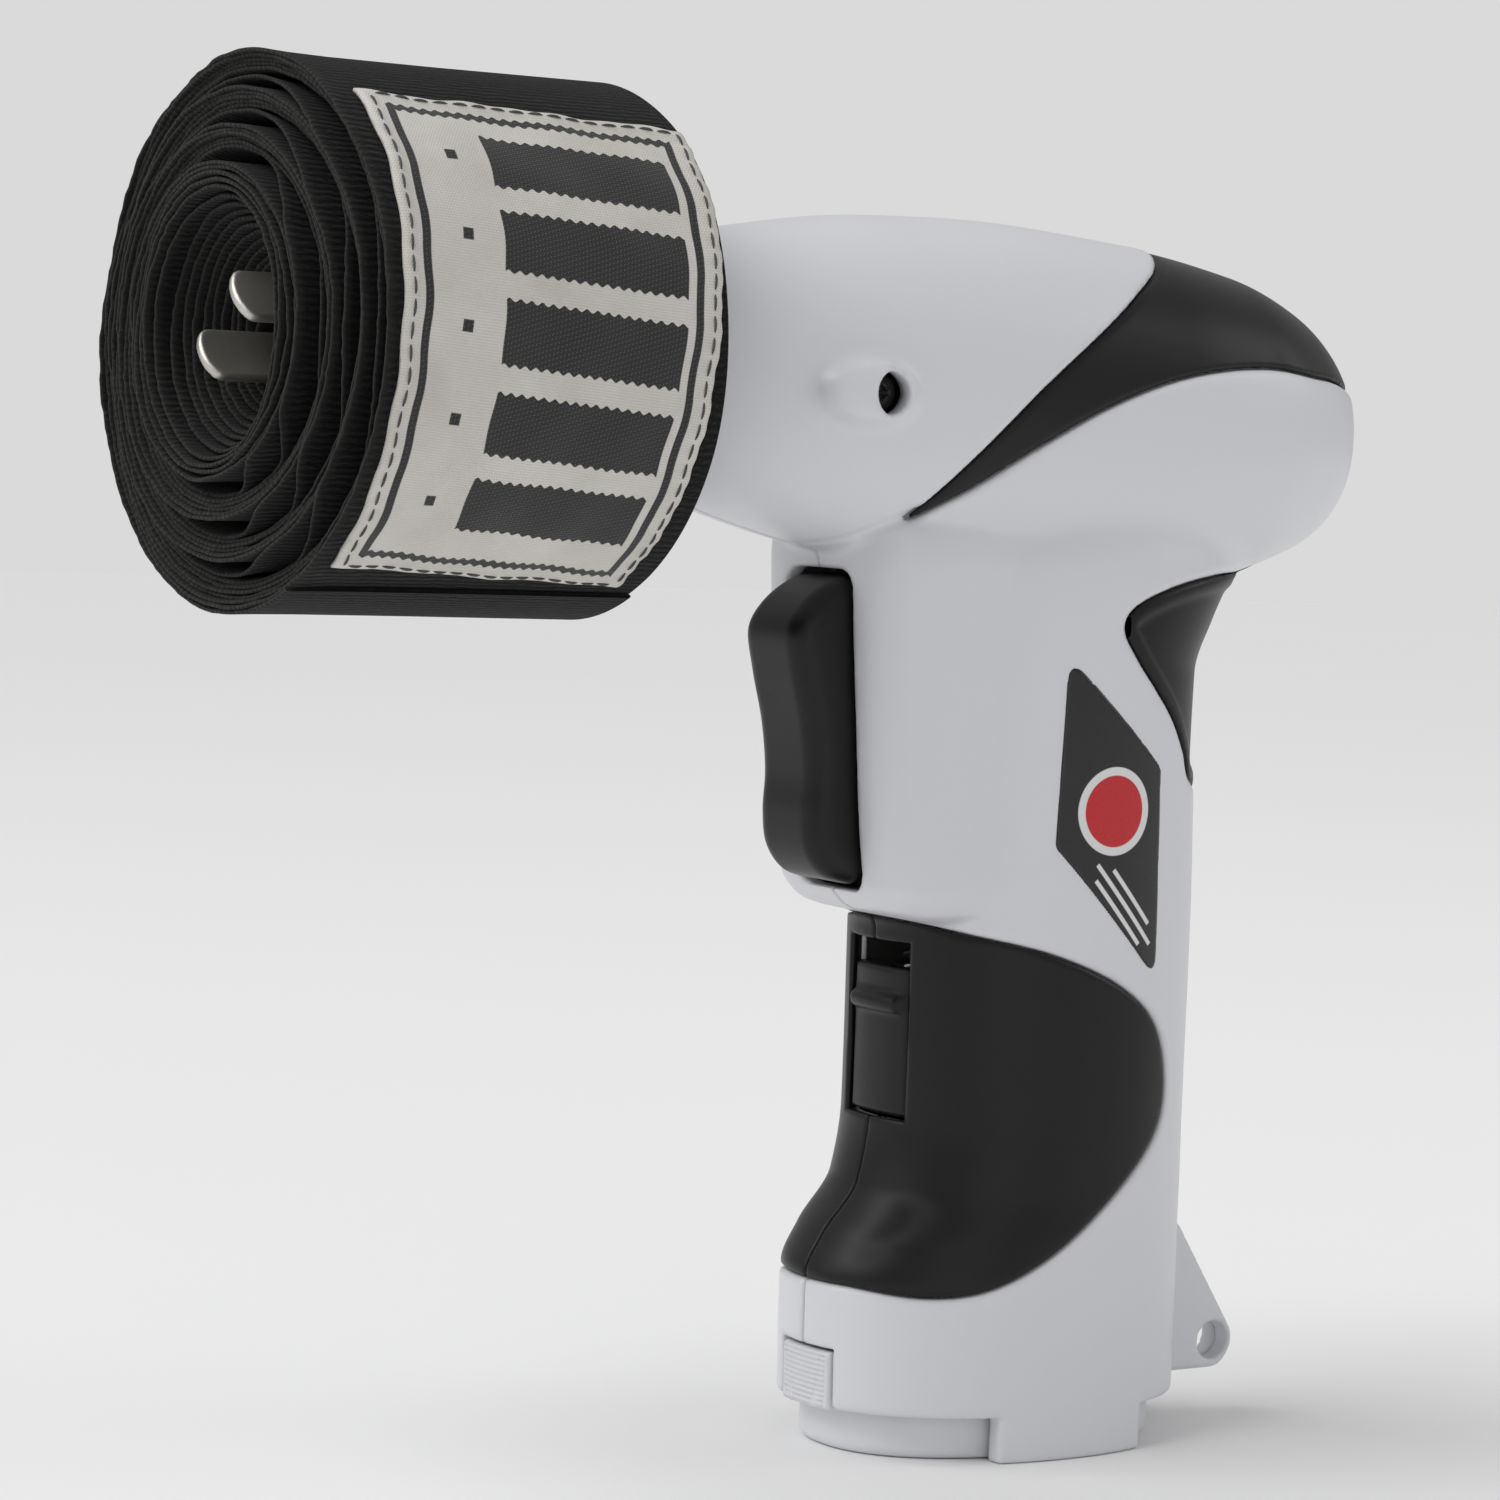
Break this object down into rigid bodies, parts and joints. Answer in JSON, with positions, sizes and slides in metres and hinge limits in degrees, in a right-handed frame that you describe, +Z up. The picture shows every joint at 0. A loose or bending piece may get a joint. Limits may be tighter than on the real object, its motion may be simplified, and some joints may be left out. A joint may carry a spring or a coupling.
{
  "type": "cordless hand-wrap roller",
  "caption": "Pistol-shaped battery tool with a motor-driven forked spindle that winds a cloth hand wrap into a roll; rocker trigger, slide latch and drop-out battery pack.",
  "frame": {"origin": "centre of the flat underside of the battery cap, on the plane the two feet stand on", "axes": "+Z up the handle, -Y forward along the spindle, +X to the tool's left side"},
  "size_m": [0.0657, 0.1716, 0.1746],
  "materials": {
    "white_shell": "satin moulded ABS",
    "black_insert": "satin black moulding",
    "label_film": "printed film",
    "dark_plastic": "fine matt moulding",
    "nylon": "natural nylon",
    "steel": "brushed",
    "spring_steel": "drawn wire",
    "screw_black": "black oxide",
    "brass": "stamped",
    "sintered_bronze": "porous sintered",
    "cell_can": "printed sleeve",
    "magnet": "ferrite",
    "circuit_board": "fibreglass board",
    "red_wire": "insulation",
    "black_wire": "insulation",
    "wrap_cloth": "ribbed cotton knit",
    "woven_label": "woven damask"
  },
  "bodies": {
    "housing": {"housing_left": "white_shell", "housing_right": "white_shell", "top_insert": "black_insert", "thumb_rest": "black_insert", "grip_panel_left": "black_insert", "grip_panel_right": "black_insert", "side_label": "label_film", "trigger_pin": "steel", "trigger_spring": "spring_steel", "switch_body": "dark_plastic", "latch_spring": "spring_steel", "contact_board": "circuit_board", "contact_blade_front": "brass", "contact_blade_rear": "brass", "motor_can": "steel", "motor_end_cap": "nylon", "motor_magnet_left": "magnet", "motor_magnet_right": "magnet", "gearbox_back_plate": "steel", "ring_gear": "dark_plastic", "gearbox_nose": "dark_plastic", "nose_bushing": "sintered_bronze", "eye_screw_left": "screw_black", "eye_screw_right": "screw_black", "case_screw_1": "screw_black", "case_screw_2": "screw_black", "case_screw_3": "screw_black", "case_screw_4": "screw_black", "wire_red": "red_wire", "wire_black": "black_wire"},
    "trigger": {"trigger": "black_insert"},
    "switch_knob": {"switch_knob": "nylon"},
    "latch": {"latch_slider": "black_insert"},
    "battery_pack": {"battery_cap": "white_shell", "battery_holder": "dark_plastic", "battery_cell_1": "cell_can", "battery_cell_2": "cell_can", "battery_cell_3": "cell_can", "battery_cell_4": "cell_can", "cell_spring_1": "spring_steel", "cell_spring_2": "spring_steel", "cell_spring_3": "spring_steel", "cell_spring_4": "spring_steel"},
    "spindle": {"carrier_2": "steel", "output_shaft": "steel", "shaft_collar": "dark_plastic", "wrap_fork": "steel", "fork_rivet": "steel"},
    "carrier_1": {"carrier_1": "nylon"},
    "motor_rotor": {"motor_rotor": "steel"},
    "wrap": {"hand_wrap": "wrap_cloth", "wrap_patch": "woven_label"},
    "planet_1_1": {"planet_1_1": "nylon"},
    "planet_1_2": {"planet_1_2": "nylon"},
    "planet_1_3": {"planet_1_3": "nylon"},
    "planet_2_1": {"planet_2_1": "nylon"},
    "planet_2_2": {"planet_2_2": "nylon"},
    "planet_2_3": {"planet_2_3": "nylon"}
  },
  "joints": [
    {"name": "spindle_spin", "type": "hinge", "parent": "housing", "child": "spindle", "pos_m": [0, -0.06, 0.142], "axis": [0, 1, 0], "continuous": true},
    {"name": "carrier_1_spin", "type": "hinge", "parent": "housing", "child": "carrier_1", "pos_m": [0, -0.022, 0.142], "axis": [0, 1, 0], "continuous": true},
    {"name": "motor_spin", "type": "hinge", "parent": "housing", "child": "motor_rotor", "pos_m": [0, 0.003, 0.142], "axis": [0, 1, 0], "continuous": true},
    {"name": "planet_1_1_spin", "type": "hinge", "parent": "carrier_1", "child": "planet_1_1", "pos_m": [0.0075, -0.0176, 0.142], "axis": [0, 1, 0], "continuous": true},
    {"name": "planet_1_2_spin", "type": "hinge", "parent": "carrier_1", "child": "planet_1_2", "pos_m": [-0.00375, -0.0176, 0.1355], "axis": [0, 1, 0], "continuous": true},
    {"name": "planet_1_3_spin", "type": "hinge", "parent": "carrier_1", "child": "planet_1_3", "pos_m": [-0.00375, -0.0176, 0.14849], "axis": [0, 1, 0], "continuous": true},
    {"name": "planet_2_1_spin", "type": "hinge", "parent": "spindle", "child": "planet_2_1", "pos_m": [0.0075, -0.027, 0.142], "axis": [0, 1, 0], "continuous": true},
    {"name": "planet_2_2_spin", "type": "hinge", "parent": "spindle", "child": "planet_2_2", "pos_m": [-0.00375, -0.027, 0.1355], "axis": [0, 1, 0], "continuous": true},
    {"name": "planet_2_3_spin", "type": "hinge", "parent": "spindle", "child": "planet_2_3", "pos_m": [-0.00375, -0.027, 0.14849], "axis": [0, 1, 0], "continuous": true},
    {"name": "wrap_pull", "type": "slide", "parent": "spindle", "child": "wrap", "axis": [0, -1, 0], "range_m": [0, 0.055]},
    {"name": "trigger_rock", "type": "hinge", "parent": "housing", "child": "trigger", "pos_m": [0, -0.0275, 0.095], "axis": [1, 0, 0], "range_deg": [-3.5, 3.5], "stiffness_Nm_per_rad": 0.35},
    {"name": "switch_slide", "type": "slide", "parent": "housing", "child": "switch_knob", "axis": [0, 0, 1], "range_m": [-0.0007, 0.0007]},
    {"name": "latch_slide", "type": "slide", "parent": "housing", "child": "latch", "axis": [0, 0, 1], "range_m": [0, 0.003], "stiffness_N_per_m": 250, "springref_m": -0.002, "deforming": ["latch_spring"]},
    {"name": "battery_pull", "type": "slide", "parent": "housing", "child": "battery_pack", "axis": [0, 0, -1], "range_m": [0, 0.07]}
  ],
  "couplings": [
    {"joint": "carrier_1_spin", "follows": "motor_spin", "ratio": 0.15},
    {"joint": "spindle_spin", "follows": "motor_spin", "ratio": 0.0225},
    {"joint": "planet_1_1_spin", "follows": "motor_spin", "ratio": -0.36429},
    {"joint": "planet_1_2_spin", "follows": "motor_spin", "ratio": -0.36429},
    {"joint": "planet_1_3_spin", "follows": "motor_spin", "ratio": -0.36429},
    {"joint": "planet_2_1_spin", "follows": "motor_spin", "ratio": -0.054643},
    {"joint": "planet_2_2_spin", "follows": "motor_spin", "ratio": -0.054643},
    {"joint": "planet_2_3_spin", "follows": "motor_spin", "ratio": -0.054643},
    {"joint": "switch_slide", "follows": "trigger_rock", "m_per_rad": 0.0104}
  ]
}
